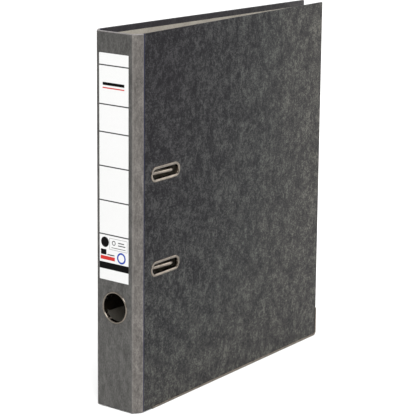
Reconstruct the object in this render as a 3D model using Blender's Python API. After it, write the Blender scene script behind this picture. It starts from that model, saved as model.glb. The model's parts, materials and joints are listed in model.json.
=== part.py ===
"""A4 lever arch file with a 50 mm spine, standing upright, closed, arches shut.

Units are metres. +Z is up, +Y runs from the spine to the open fore edge, and +X
from the back cover, which carries the mechanism, to the slotted front cover.
Every measure below is written in millimetres and multiplied by MM once.
"""

import math

import bmesh
import bpy
from mathutils import Matrix, Vector

MM = 0.001

# The whole file
HEIGHT = 318 * MM
DEPTH = 285 * MM
WIDTH = 50 * MM
SPINE_Y = -DEPTH / 2
BACK_X = -WIDTH / 2
FRONT_X = WIDTH / 2
COVER_TAPER = math.radians(5.25)  # an empty file closes further at the fore edge

# Layers of a cover, as depths below its outer face
PAPER = 0.25 * MM
BOARD_TOP = 0.35 * MM
BOARD_BOTTOM = 1.95 * MM
LINING_TOP = 2.05 * MM
LINING_BOTTOM = 2.25 * MM
SKIN_GAP = 0.1 * MM
LINING_INSET = 5 * MM
LINING_CORNER = 0.5 * MM
SEAT = 0.5 * MM  # the boards stand this far up, inside the edge guards
BOARD_CORNER = 3.5 * MM  # at the foot of a cover, inside its edge guard
BOARD_TOP_CORNER = 0.7 * MM
CUT = 8 * MM  # how far a cutter reaches past the sheet that it cuts

# Spine and creases
FOLD_NEAR = 5.5 * MM  # the spine's flat ends this far short of each corner line
FOLD_FAR = 7.2 * MM  # and its slanted edge ends this far along the cover
FOLD_R = 1.2 * MM  # outer radius of the fold beside the flat
FOLD_TURN = math.atan2(FOLD_FAR, FOLD_NEAR)
# Each crease's axis is as far from both outer faces as from the slanted edge, so that the
# edge lies flat between spine and cover when they open into one plane
AXIS_INSET = (FOLD_NEAR + FOLD_FAR - math.hypot(FOLD_NEAR, FOLD_FAR)) / 2
CREASE = 7.8 * MM  # where a cover starts, from the corner line
STRIP_LAP = 9.6 * MM  # the spine covering runs this far on to each cover
LABEL_WIDTH = 32 * MM
LABEL_HEIGHT = 189.5 * MM
LABEL_BASE = 110.8 * MM
LABEL_X = -0.7 * MM
LABEL_THICKNESS = 0.15 * MM
LABEL_CORNER = 0.4 * MM
THUMB_Z = 88.2 * MM
THUMB_HOLE_R = 12.9 * MM
THUMB_INNER_R = 12.2 * MM
THUMB_FLANGE_R = 13.8 * MM

# Slots and edge guards
RING_PITCH = 80 * MM
LOW_RING_Z = 120.4 * MM
SLOT_Y = 39 * MM
SLOT_LENGTH = 41 * MM
SLOT_WIDTH = 13.2 * MM
SLOT_FLANGE = 2.5 * MM
SLOT_SHEET = 0.35 * MM
GUARD_START = 21 * MM
GUARD_RISE = 26.5 * MM
GUARD_SHEET = 0.4 * MM
GUARD_FLANGE = 1.9 * MM
PROUD = 0.55 * MM  # how far an eyelet's rolled rim stands out

# Mechanism
PLATE_GAP = 0.2 * MM
PLATE_SHEET = 1 * MM
PLATE_NEAR = 12 * MM
PLATE_FAR = 66 * MM
PLATE_LENGTH = 164 * MM
PLATE_CORNER = 7 * MM
PLATE_RIB_Y = (45.5 * MM, 62.5 * MM)
RIB_WIDTH = 3 * MM
RIB_SINK = 0.5 * MM  # how far a raised shape starts inside the sheet that it joins
WIRE_R = 2 * MM
AXLE_Y = 20 * MM
AXLE_RISE = 4.35 * MM  # axle centre above the base plate
POST_Y = 53 * MM
POST_R = 2.3 * MM
POST_BORE_R = 1.6 * MM
POST_RISE = 27.5 * MM
ARCH_X = 18.2 * MM
ARCH_BEND = 6 * MM
CRANK_BEND = 3.2 * MM
CRANK_LOW = 136 * MM
CRANK_HIGH = 150 * MM
LEVER_Y = 34 * MM
LEVER_WIDTH = 11.7 * MM
PIVOT_Z = 128 * MM
PIVOT_RISE = 10.65 * MM  # lever pivot above the base plate
ROLLER_Z = 140.5 * MM
ROLLER_R = 3 * MM
PIN_R = 1.5 * MM
ROLLER_PIN_R = 1 * MM
HOLE_EASE = 0.15 * MM  # running clearance round a pin
RIVET_R = 1.8 * MM
RIVET_Y = (16.5 * MM, 61 * MM)
RIVET_SPREAD = 71 * MM

PLATE_X = BACK_X + LINING_BOTTOM + PLATE_GAP  # underside of the base plate
PLATE_TOP = PLATE_X + PLATE_SHEET
AXLE_X = PLATE_TOP + AXLE_RISE
PIVOT_X = PLATE_TOP + PIVOT_RISE
ROLLER_X = AXLE_X + WIRE_R + ROLLER_R + 0.3 * MM
POST_TOP = PLATE_TOP + POST_RISE
RING_Z = (LOW_RING_Z, LOW_RING_Z + RING_PITCH)
MID_Z = LOW_RING_Z + RING_PITCH / 2
RIVET_YZ = [(y, MID_Z + side * RIVET_SPREAD) for y in RIVET_Y for side in (-1, 1)]

# Colour, roughness, metallic
MATERIALS = {
    "marbled_paper": ((0.045, 0.046, 0.048), 0.8, 0.0),
    "spine_paper": ((0.115, 0.115, 0.11), 0.85, 0.0),
    "grey_board": ((0.3, 0.28, 0.26), 0.9, 0.0),
    "lining_paper": ((0.32, 0.3, 0.27), 0.85, 0.0),
    "label_paper": ((0.85, 0.85, 0.85), 0.6, 0.0),
    "nickel_steel": ((0.6, 0.58, 0.54), 0.28, 1.0),
    "spring_steel": ((0.4, 0.4, 0.42), 0.35, 1.0),
    "clip_plastic": ((0.02, 0.02, 0.02), 0.45, 0.0),
}


def clear_scene():
    for existing in list(bpy.data.objects):
        bpy.data.objects.remove(existing, do_unlink=True)


def build_materials():
    """One Principled material for each entry of MATERIALS."""
    for name, (colour, roughness, metallic) in MATERIALS.items():
        made = bpy.data.materials.new(name)
        made.use_nodes = True
        shader = made.node_tree.nodes["Principled BSDF"]
        shader.inputs["Base Color"].default_value = (*colour, 1)
        shader.inputs["Roughness"].default_value = roughness
        shader.inputs["Metallic"].default_value = metallic
        made.diffuse_color = (*colour, 1)


def empty(name, location, turn=0.0, parent=None):
    """A joint frame: an empty on a joint's axis, turned about +Z."""
    frame = bpy.data.objects.new(name, None)
    frame.location = location
    frame.rotation_euler = (0, 0, turn)
    frame.parent = parent
    bpy.context.scene.collection.objects.link(frame)
    return frame


def node(name, mesh_data, material, parent=None, at=(0, 0, 0)):
    """Link a finished bmesh as a named object with its material."""
    bmesh.ops.recalc_face_normals(mesh_data, faces=mesh_data.faces[:])
    mesh = bpy.data.meshes.new(name)
    mesh_data.to_mesh(mesh)
    mesh_data.free()
    mesh.shade_smooth()
    mesh.set_sharp_from_angle(angle=math.radians(35))
    made = bpy.data.objects.new(name, mesh)
    made.location = at
    made.parent = parent
    if material:
        mesh.materials.append(bpy.data.materials[material])
    bpy.context.scene.collection.objects.link(made)
    return made


def boolean(target, cutter, operation="DIFFERENCE"):
    """Cut or join with a helper object, which stays hidden."""
    cutter.parent = target.parent
    cutter.hide_render = True
    cutter.display_type = "WIRE"
    modifier = target.modifiers.new(cutter.name, "BOOLEAN")
    modifier.object = cutter
    modifier.operation = operation
    modifier.solver = "EXACT"


def prism(outline, axis, low, high):
    """A solid from an outline in the two other axes, in X, Y, Z order, drawn out along axis."""
    solid = bmesh.new()
    corners = []
    for first, second in outline:
        place = [first, second]
        place.insert("xyz".index(axis), low)
        corners.append(solid.verts.new(place))
    base = solid.faces.new(corners)
    push = Vector([high - low if letter == axis else 0 for letter in "xyz"])
    drawn = bmesh.ops.extrude_face_region(solid, geom=[base])["geom"]
    bmesh.ops.translate(
        solid, vec=push, verts=[v for v in drawn if isinstance(v, bmesh.types.BMVert)]
    )
    return solid


def arc(centre, radius, start, end, steps):
    """Points on an arc, angles in degrees, both ends included."""
    return [
        (
            centre[0] + radius * math.cos(math.radians(start + (end - start) * i / steps)),
            centre[1] + radius * math.sin(math.radians(start + (end - start) * i / steps)),
        )
        for i in range(steps + 1)
    ]


def rounded_box(low, high, radii, steps=5):
    """A rectangle's outline with a radius for each corner, from the low corner counter-clockwise."""
    points = []
    corners = (
        (low[0], low[1], 1, 1, 180),
        (high[0], low[1], -1, 1, 270),
        (high[0], high[1], -1, -1, 0),
        (low[0], high[1], 1, -1, 90),
    )
    for (x, y, inward_x, inward_y, start), radius in zip(corners, radii):
        if radius:
            centre = (x + inward_x * radius, y + inward_y * radius)
            points += arc(centre, radius, start, start + 90, steps)
        else:
            points.append((x, y))
    return points


def racetrack(centre, length, width, steps=8):
    """A slot's outline, long along the first axis."""
    reach = (length - width) / 2
    right = arc((centre[0] + reach, centre[1]), width / 2, -90, 90, steps)
    left = arc((centre[0] - reach, centre[1]), width / 2, 90, 270, steps)
    return right + left


def lathe(profile, along, steps=24):
    """Turn a closed profile of (radius, height) about the along axis. Radius 0 points close it."""
    solid = bmesh.new()
    rings = []
    for radius, height in profile:
        if radius == 0:
            rings.append([solid.verts.new((0, 0, height))])
            continue
        rings.append(
            [
                solid.verts.new(
                    (
                        radius * math.cos(2 * math.pi * i / steps),
                        radius * math.sin(2 * math.pi * i / steps),
                        height,
                    )
                )
                for i in range(steps)
            ]
        )
    pairs = list(zip(rings, rings[1:]))
    if profile[0][0] and profile[-1][0]:
        pairs.append((rings[-1], rings[0]))
    for lower, upper in pairs:
        for i in range(steps):
            ring = [lower[i % len(lower)], lower[(i + 1) % len(lower)]]
            ring += [upper[(i + 1) % len(upper)], upper[i % len(upper)]]
            unique = list(dict.fromkeys(ring))
            if len(unique) > 2:
                solid.faces.new(unique)
    turn = {
        "x": Matrix.Rotation(math.pi / 2, 3, "Y"),
        "y": Matrix.Rotation(-math.pi / 2, 3, "X"),
    }
    if along in turn:
        bmesh.ops.rotate(solid, cent=(0, 0, 0), matrix=turn[along], verts=solid.verts[:])
    return solid


def rod(radius, low, high, along, steps=20):
    """A plain cylinder between two heights."""
    return lathe([(0, low), (radius, low), (radius, high), (0, high)], along, steps)


def helper(name, solid, at=(0, 0, 0)):
    """A shape that a Boolean takes, with no material of its own."""
    return node(name, solid, None, None, at)


def sweep(section, stations, closed=False):
    """Carry a closed section of (a, b) along stations of (origin, a axis, b axis)."""
    solid = bmesh.new()
    rings = [
        [solid.verts.new(origin + a * side + b * up) for a, b in section]
        for origin, side, up in stations
    ]
    count = len(section)
    pairs = list(zip(rings, rings[1:]))
    if closed:
        pairs.append((rings[-1], rings[0]))
    for ring, following in pairs:
        for i in range(count):
            j = (i + 1) % count
            solid.faces.new((ring[i], ring[j], following[j], following[i]))
    if not closed:
        solid.faces.new(rings[0])
        solid.faces.new(rings[-1])
    return solid


def tube(name, points, radius, material, sides=4):
    """A round wire along points, as a curve."""
    data = bpy.data.curves.new(name, "CURVE")
    data.dimensions = "3D"
    data.bevel_depth = radius
    data.bevel_resolution = sides
    data.use_fill_caps = True
    spline = data.splines.new("POLY")
    spline.points.add(len(points) - 1)
    for point, place in zip(spline.points, points):
        point.co = (*place, 1)
    made = bpy.data.objects.new(name, data)
    data.materials.append(bpy.data.materials[material])
    bpy.context.scene.collection.objects.link(made)
    return made


def as_mesh(curve, frame):
    """The same shape as a mesh object in a joint frame, so that Booleans can join to it."""
    name, material = curve.name, curve.data.materials[0].name
    bpy.context.view_layer.update()
    graph = bpy.context.evaluated_depsgraph_get()
    solid = bmesh.new()
    solid.from_mesh(bpy.data.meshes.new_from_object(curve.evaluated_get(graph)))
    bmesh.ops.remove_doubles(solid, verts=solid.verts[:], dist=0.001 * MM)
    bmesh.ops.translate(solid, vec=-frame.location, verts=solid.verts[:])
    bpy.data.objects.remove(curve, do_unlink=True)
    return node(name, solid, material, frame)


def bend(before, corner, after, radius, steps=6):
    """Points along the arc that rounds a path's corner, both ends included."""
    before, corner, after = Vector(before), Vector(corner), Vector(after)
    back, ahead = (before - corner).normalized(), (after - corner).normalized()
    half = back.angle(ahead) / 2
    trim = radius / math.tan(half)
    centre = corner + (back + ahead).normalized() * radius / math.sin(half)
    start, end = corner + back * trim - centre, corner + ahead * trim - centre
    turn = start.angle(end)
    points = []
    for i in range(steps + 1):
        share = i / steps
        first = math.sin((1 - share) * turn) / math.sin(turn)
        second = math.sin(share * turn) / math.sin(turn)
        points.append(centre + start * first + end * second)
    return points


# ---------------------------------------------------------------- covers


# Each layer: first word or words of its name, depths, near edge, inset, corner radii, material
BOARD_CORNERS = (0, BOARD_CORNER, BOARD_TOP_CORNER, 0)
LINING_CORNERS = (0, LINING_CORNER, LINING_CORNER, 0)
COVER_LAYERS = (
    ("cover_paper", 0, PAPER, STRIP_LAP + SKIN_GAP, 0, BOARD_CORNERS, "marbled_paper"),
    ("cover_board", BOARD_TOP, BOARD_BOTTOM, CREASE, 0, BOARD_CORNERS, "grey_board"),
    ("lining", LINING_TOP, LINING_BOTTOM, CREASE, LINING_INSET, LINING_CORNERS, "lining_paper"),
)


def cover_layers(side, frame, inward, corner=(0, 0, 0)):
    """The three layers of one cover and the strip of spine covering that laps on to it.

    inward is +1 where depth runs along +X, on the back cover, and -1 on the front. corner is
    the place in the frame where the cover's outer face would meet the spine's.
    """
    layers = []
    for part, top, bottom, near, inset, corners, material in COVER_LAYERS:
        outline = rounded_box((near, SEAT + inset), (DEPTH - inset, HEIGHT - inset), corners)
        low, high = sorted((inward * top, inward * bottom))
        solid = prism(outline, "x", low, high)
        layers.append(node(f"{side}_{part}", solid, material, frame, corner))
    strip = rounded_box((CREASE, SEAT), (STRIP_LAP, HEIGHT), (0, 0, 0, 0))
    low, high = sorted((0, inward * PAPER))
    node(f"{side}_hinge_strip", prism(strip, "x", low, high), "spine_paper", frame, corner)
    return layers


def edge_guard(name, frame, inward, corner=(0, 0, 0)):
    """A folded metal channel along the bottom edge, round the corner and up the fore edge."""
    outer = -(SKIN_GAP + GUARD_SHEET)
    inner = LINING_BOTTOM + SKIN_GAP + GUARD_SHEET
    section = [
        (outer, 0),
        (inner, 0),
        (inner, GUARD_FLANGE),
        (inner - GUARD_SHEET, GUARD_FLANGE),
        (inner - GUARD_SHEET, GUARD_SHEET),
        (outer + GUARD_SHEET, GUARD_SHEET),
        (outer + GUARD_SHEET, GUARD_FLANGE),
        (outer, GUARD_FLANGE),
    ]
    fore = DEPTH + SKIN_GAP + GUARD_SHEET
    bend = BOARD_CORNER + SKIN_GAP + GUARD_SHEET
    bend_steps = 6
    path = [(GUARD_START, 0, 0)]
    for step in range(bend_steps + 1):
        turned = 90 * step / bend_steps
        y, z = arc((fore - bend, bend), bend, turned - 90, turned - 90, 1)[0]
        path.append((y, z, turned))
    path.append((fore, GUARD_RISE, 90))
    stations = []
    for y, z, turned in path:
        heading = math.radians(turned + 90)
        up = Vector((0, math.cos(heading), math.sin(heading)))
        stations.append((Vector((0, y, z)), Vector((inward, 0, 0)), up))
    return node(name, sweep(section, stations), "nickel_steel", frame, corner)


def slot_eyelet(name, frame, z, corner):
    """A metal-rimmed slot: outer flange, barrel through the front cover, clinched inner flange."""
    wall = SLOT_FLANGE - SLOT_SHEET
    roll = 0.5 * MM
    clinch = 0.9 * MM
    inside = -(LINING_BOTTOM + SKIN_GAP)
    section = [
        (0, SKIN_GAP),
        (roll, PROUD),
        (wall - roll, PROUD),
        (SLOT_FLANGE - SKIN_GAP, SKIN_GAP),
        (SLOT_FLANGE, -roll),
        (SLOT_FLANGE, inside - SLOT_SHEET),
        (clinch, inside - SLOT_SHEET),
        (clinch, inside),
        (wall, inside),
        (wall, SKIN_GAP),
    ]
    stations = []
    for y, z_rim, away in slot_rim(z):
        stations.append((Vector((0, y, z_rim)), -away, Vector((1, 0, 0))))
    return node(name, sweep(section, stations, closed=True), "nickel_steel", frame, corner)


def slot_rim(z, steps=10):
    """Points round a slot's outer edge, each with the direction that points out of the slot."""
    reach = (SLOT_LENGTH - SLOT_WIDTH) / 2
    rim = []
    for end, start in ((1, -90), (-1, 90)):
        for i in range(steps + 1):
            angle = math.radians(start + 180 * i / steps)
            away = Vector((0, math.cos(angle), math.sin(angle)))
            y = SLOT_Y + end * reach + away.y * SLOT_WIDTH / 2
            rim.append((y, z + away.z * SLOT_WIDTH / 2, away))
    return rim


def slot_cutter(name, z, corner):
    """The hole that an eyelet's barrel passes through."""
    margin = 2 * (SLOT_FLANGE - SLOT_SHEET - SKIN_GAP)
    outline = racetrack((SLOT_Y, z), SLOT_LENGTH - margin, SLOT_WIDTH - margin)
    return helper(name, prism(outline, "x", -CUT, CUT), corner)


def rivet_cutter(name, x, y, z):
    return helper(name, rod(RIVET_R + 2 * SKIN_GAP, -CUT, CUT, "x", 16), (x, y, z))


def build_back_cover():
    frame = empty("back_cover_frame", (BACK_X, SPINE_Y, 0))
    for layer in cover_layers("back", frame, 1):
        for index, (y, z) in enumerate(RIVET_YZ, 1):
            boolean(layer, rivet_cutter(f"{layer.name}_rivet_hole_{index}", 0, y, z))
    edge_guard("back_edge_guard", frame, 1)


def build_front_cover():
    axis = (FRONT_X - AXIS_INSET, SPINE_Y + AXIS_INSET, 0)
    frame = empty("front_cover_hinge", axis, COVER_TAPER)
    corner = Matrix.Rotation(-COVER_TAPER, 3, "Z") @ Vector((AXIS_INSET, -AXIS_INSET, 0))
    for layer in cover_layers("front", frame, -1, corner):
        for place, z in zip(("lower", "upper"), RING_Z):
            boolean(layer, slot_cutter(f"{layer.name}_{place}_slot", z, corner))
    for place, z in zip(("lower", "upper"), RING_Z):
        slot_eyelet(f"{place}_slot_eyelet", frame, z, corner)
    edge_guard("front_edge_guard", frame, -1, corner)


# ---------------------------------------------------------------- spine


def spine_edge(depth, steps=5):
    """One slanted edge of the spine, at a depth below the outer face, from the flat outwards."""
    fold = WIDTH / 2 - FOLD_NEAR
    if depth < FOLD_R:
        centre = (fold - FOLD_R * math.tan(FOLD_TURN / 2), FOLD_R)
        points = arc(centre, FOLD_R - depth, 270, 270 + math.degrees(FOLD_TURN), steps)
    else:
        points = [(fold - depth * math.tan(FOLD_TURN / 2), depth)]
    points.append((WIDTH / 2 - depth / math.sin(FOLD_TURN), FOLD_FAR))
    return points


def spine_shell(top, bottom):
    """Outline in X and Y of one layer of the spine, with its two slanted edges."""
    outer, inner = spine_edge(top), spine_edge(bottom)
    points = [(-x, y) for x, y in reversed(outer)] + outer
    return points + inner[::-1] + [(-x, y) for x, y in inner]


def build_spine():
    frame = empty("spine_hinge", (BACK_X + AXIS_INSET, SPINE_Y + AXIS_INSET, 0))
    middle = WIDTH / 2 - AXIS_INSET  # the spine's middle, from its hinge
    flat = spine_edge(LINING_BOTTOM)[0][0] - SEAT

    def on_spine(name, solid, material, z=0):
        return node(name, solid, material, frame, (middle, -AXIS_INSET, z))

    covering = prism(spine_shell(0, PAPER), "z", SEAT, HEIGHT)
    board = prism(spine_shell(BOARD_TOP, BOARD_BOTTOM), "z", SEAT, HEIGHT)
    lining = rounded_box((-flat, LINING_TOP), (flat, LINING_BOTTOM), (0, 0, 0, 0))
    lining = prism(lining, "z", SEAT + LINING_INSET, HEIGHT - LINING_INSET)
    layers = (
        on_spine("spine_covering", covering, "spine_paper"),
        on_spine("spine_board", board, "grey_board"),
        on_spine("spine_lining", lining, "lining_paper"),
    )
    for layer in layers:
        hole = rod(THUMB_HOLE_R, -CUT, CUT, "y", 48)
        at = (middle, -AXIS_INSET, THUMB_Z)
        boolean(layer, helper(f"{layer.name}_thumb_hole", hole, at))

    low = (LABEL_X - LABEL_WIDTH / 2, LABEL_BASE)
    high = (LABEL_X + LABEL_WIDTH / 2, LABEL_BASE + LABEL_HEIGHT)
    label = rounded_box(low, high, (LABEL_CORNER,) * 4, 3)
    label = prism(label, "y", -SKIN_GAP - LABEL_THICKNESS, -SKIN_GAP)
    on_spine("spine_label", label, "label_paper")

    wall = THUMB_INNER_R + 0.4 * MM
    ring = [
        (THUMB_INNER_R, 1 * MM),
        (THUMB_INNER_R, -SKIN_GAP),
        (THUMB_INNER_R + 0.3 * MM, -PROUD),
        (THUMB_FLANGE_R - 0.4 * MM, -PROUD),
        (THUMB_FLANGE_R, -SKIN_GAP),
        (wall, -SKIN_GAP),
        (wall, 3.4 * MM),
        (THUMB_INNER_R, 3.4 * MM),
    ]
    on_spine("thumb_ring", lathe(ring, "y", 48), "nickel_steel", THUMB_Z)
    low, high = LINING_BOTTOM + SKIN_GAP, LINING_BOTTOM + SKIN_GAP + 0.5 * MM
    washer = [
        (THUMB_HOLE_R, low),
        (THUMB_FLANGE_R + 1 * MM, low),
        (THUMB_FLANGE_R + 0.7 * MM, high),
        (THUMB_HOLE_R, high),
    ]
    on_spine("thumb_ring_washer", lathe(washer, "y", 48), "nickel_steel", THUMB_Z)


# ---------------------------------------------------------------- mechanism


def build_base_plate():
    """The stamped plate, its two stiffening ribs and the loops that hold the arch axle."""
    half = PLATE_LENGTH / 2
    axle_y = AXLE_Y + SPINE_Y
    sunk = PLATE_TOP - RIB_SINK
    outline = rounded_box(
        (PLATE_NEAR + SPINE_Y, MID_Z - half), (PLATE_FAR + SPINE_Y, MID_Z + half), (PLATE_CORNER,) * 4
    )
    plate = node("base_plate", prism(outline, "x", PLATE_X, PLATE_TOP), "nickel_steel")
    rib_length = 128 * MM
    for index, y in enumerate(PLATE_RIB_Y, 1):
        upright = racetrack((MID_Z, y + SPINE_Y), rib_length, RIB_WIDTH, 4)
        rib = prism([(across, up) for up, across in upright], "x", sunk, PLATE_TOP + RIB_SINK)
        boolean(plate, helper(f"base_plate_rib_{index}", rib), "UNION")
    strap_r = WIRE_R + 1.3 * MM
    strap_half = 3.5 * MM
    strap = arc((AXLE_X, axle_y), strap_r, -90, 90, 8)
    strap += [(sunk, axle_y + strap_r), (sunk, axle_y - strap_r)]
    heights = (LOW_RING_Z + 8 * MM, CRANK_HIGH + 21 * MM, RING_Z[1] - 8 * MM)
    for index, z in enumerate(heights, 1):
        loop = helper(f"base_plate_loop_{index}", prism(strap, "z", z - strap_half, z + strap_half))
        boolean(plate, loop, "UNION")
    bore = rod(WIRE_R + 0.3 * MM, -RING_PITCH / 2 - CUT, RING_PITCH / 2 + CUT, "z", 16)
    boolean(plate, helper("base_plate_axle_bore", bore, (AXLE_X, axle_y, MID_Z)))
    for index, (y, z) in enumerate(RIVET_YZ, 1):
        boolean(plate, rivet_cutter(f"base_plate_rivet_hole_{index}", PLATE_X, y + SPINE_Y, z))


def build_rivets():
    """Four rivets hold the base plate to the back cover, domed heads outside."""
    head = -0.9 * MM
    head_r = 3.4 * MM
    inner = PLATE_TOP - BACK_X + 0.15 * MM
    profile = [
        (0, head),
        (2 * MM, head + 0.1 * MM),
        (head_r - 0.3 * MM, head + 0.4 * MM),
        (head_r, -SKIN_GAP),
        (RIVET_R, -SKIN_GAP),
        (RIVET_R, inner),
        (head_r - 0.3 * MM, inner),
        (head_r - 0.5 * MM, inner + 0.5 * MM),
        (0, inner + 0.7 * MM),
    ]
    for index, (y, z) in enumerate(RIVET_YZ, 1):
        at = (BACK_X, y + SPINE_Y, z)
        node(f"mounting_rivet_{index}", lathe(profile, "x", 20), "nickel_steel", None, at)


def build_posts():
    """Two fixed posts that the paper is threaded on, open at the top for the arch tips."""
    foot = 0.3 * MM
    foot_r = 4 * MM
    bore_end = POST_RISE - 5 * MM
    profile = [
        (0, foot),
        (foot_r, foot),
        (foot_r, foot + 0.4 * MM),
        (2.9 * MM, foot + 0.6 * MM),
        (POST_R, foot + 0.9 * MM),
        (POST_R, POST_RISE - 0.3 * MM),
        (POST_R - 0.25 * MM, POST_RISE),
        (POST_BORE_R, POST_RISE),
        (POST_BORE_R, bore_end),
        (0, bore_end),
    ]
    for place, z in zip(("lower", "upper"), RING_Z):
        at = (PLATE_TOP, POST_Y + SPINE_Y, z)
        node(f"{place}_post", lathe(profile, "x", 20), "nickel_steel", None, at)


def build_arches():
    """One bent wire: tip, arch, axle with its crank, arch, tip."""
    tip_x = POST_TOP - 1.1 * MM
    shoulder_x = POST_TOP + 0.3 * MM
    post_y, axle_y, crank_y = POST_Y + SPINE_Y, AXLE_Y + SPINE_Y, LEVER_Y + SPINE_Y
    low, high = RING_Z
    frame = empty("arch_pivot", (AXLE_X, axle_y, 0))
    route = [
        (shoulder_x, post_y, low),
        (ARCH_X, post_y, low),
        (ARCH_X, axle_y, low),
        (AXLE_X, axle_y, low),
        (AXLE_X, axle_y, CRANK_LOW),
        (AXLE_X, crank_y, CRANK_LOW),
        (AXLE_X, crank_y, CRANK_HIGH),
        (AXLE_X, axle_y, CRANK_HIGH),
        (AXLE_X, axle_y, high),
        (ARCH_X, axle_y, high),
        (ARCH_X, post_y, high),
        (shoulder_x, post_y, high),
    ]
    radii = [ARCH_BEND] * 2 + [CRANK_BEND] * 6 + [ARCH_BEND] * 2
    path = [Vector(route[0])]
    for index, radius in enumerate(radii, 1):
        path += bend(route[index - 1], route[index], route[index + 1], radius)
    path.append(Vector(route[-1]))
    wire = as_mesh(tube("arch_wire", path, WIRE_R, "nickel_steel"), frame)
    point_r = 0.6 * MM
    tip_r = POST_BORE_R - 0.15 * MM
    length = shoulder_x - tip_x
    buried = length + WIRE_R
    tip = [(0, 0), (point_r, 0), (tip_r, length), (tip_r, buried), (0, buried)]
    for place, z in zip(("lower", "upper"), RING_Z):
        at = (tip_x - AXLE_X, post_y - axle_y, z)
        boolean(wire, helper(f"arch_{place}_tip", lathe(tip, "x", 16), at), "UNION")


def build_spring():
    """A torsion spring round the axle: one leg on the plate, one under the crank."""
    wire_r = 0.45 * MM
    coil_r = 3 * MM
    turns, per_turn = 5, 14
    low, high = CRANK_HIGH + 4 * MM, CRANK_HIGH + 13 * MM
    axle_y = AXLE_Y + SPINE_Y
    under = AXLE_X - coil_r
    points = [
        (under, axle_y + 9 * MM, CRANK_HIGH - 2.5 * MM),
        (under, axle_y + 9 * MM, low - 1.5 * MM),
        (under, axle_y + 7.5 * MM, low),
    ]
    for i in range(turns * per_turn + 1):
        angle = 2 * math.pi * i / per_turn
        z = low + (high - low) * i / (turns * per_turn)
        points.append((AXLE_X - coil_r * math.cos(angle), axle_y - coil_r * math.sin(angle), z))
    points.append((under - 0.2 * MM, axle_y + 12 * MM, high + 0.3 * MM))
    tube("arch_spring", points, wire_r, "spring_steel", sides=1)


def build_bracket():
    """The U-shaped bracket, with an ear on each side of the lever."""
    sheet = 1.2 * MM
    inside = LEVER_WIDTH / 2 + 0.75 * MM
    outside = inside + sheet
    ear_half = 4.5 * MM
    ear_root = PIVOT_X - 3 * MM
    floor = PLATE_TOP + 0.3 * MM
    floor_top = floor + 1 * MM
    middle_y = LEVER_Y + SPINE_Y
    section = [
        (floor, middle_y - outside),
        (floor, middle_y + outside),
        (PIVOT_X, middle_y + outside),
        (PIVOT_X, middle_y + inside),
        (floor_top, middle_y + inside),
        (floor_top, middle_y - inside),
        (PIVOT_X, middle_y - inside),
        (PIVOT_X, middle_y - outside),
    ]
    body = prism(section, "z", PIVOT_Z - ear_half, PIVOT_Z + ear_half)
    bracket = node("lever_bracket", body, "nickel_steel")
    ear = arc((PIVOT_X, PIVOT_Z), ear_half, -90, 90, 10)
    ear += [(ear_root, PIVOT_Z + ear_half), (ear_root, PIVOT_Z - ear_half)]
    for index, side in enumerate((-1, 1), 1):
        low, high = sorted((middle_y + side * inside, middle_y + side * outside))
        boolean(bracket, helper(f"lever_bracket_ear_{index}", prism(ear, "y", low, high)), "UNION")
    pivot = (PIVOT_X, middle_y, PIVOT_Z)
    hole = rod(PIN_R + HOLE_EASE, -outside - CUT, outside + CUT, "y")
    boolean(bracket, helper("lever_bracket_hole", hole, pivot))
    pin_head_r = 2.4 * MM
    build_pin("lever_pivot_pin", PIN_R, pin_head_r, outside + HOLE_EASE, 0.8 * MM, None, pivot)


def build_pin(name, radius, head_radius, reach, head, frame, at):
    """A pin along Y with a head past reach at each end."""
    profile = [
        (0, -reach - head),
        (head_radius - 0.3 * MM, -reach - head),
        (head_radius, -reach - 0.3 * MM),
        (head_radius, -reach),
        (radius, -reach),
        (radius, reach),
        (head_radius, reach),
        (head_radius, reach + 0.3 * MM),
        (head_radius - 0.3 * MM, reach + head),
        (0, reach + head),
    ]
    return node(name, lathe(profile, "y", 20), "nickel_steel", frame, at)


def ribbon(path, thickness):
    """Outline of a strip of sheet of the given thickness, with path as its upper side."""
    path = [Vector((x, z)) for x, z in path]
    under = []
    for i, point in enumerate(path):
        before, after = path[max(i - 1, 0)], path[min(i + 1, len(path) - 1)]
        along = (after - before).normalized()
        under.append(point + Vector((-along.y, along.x)) * thickness)
    return [tuple(p) for p in path + under[::-1]]


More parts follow.
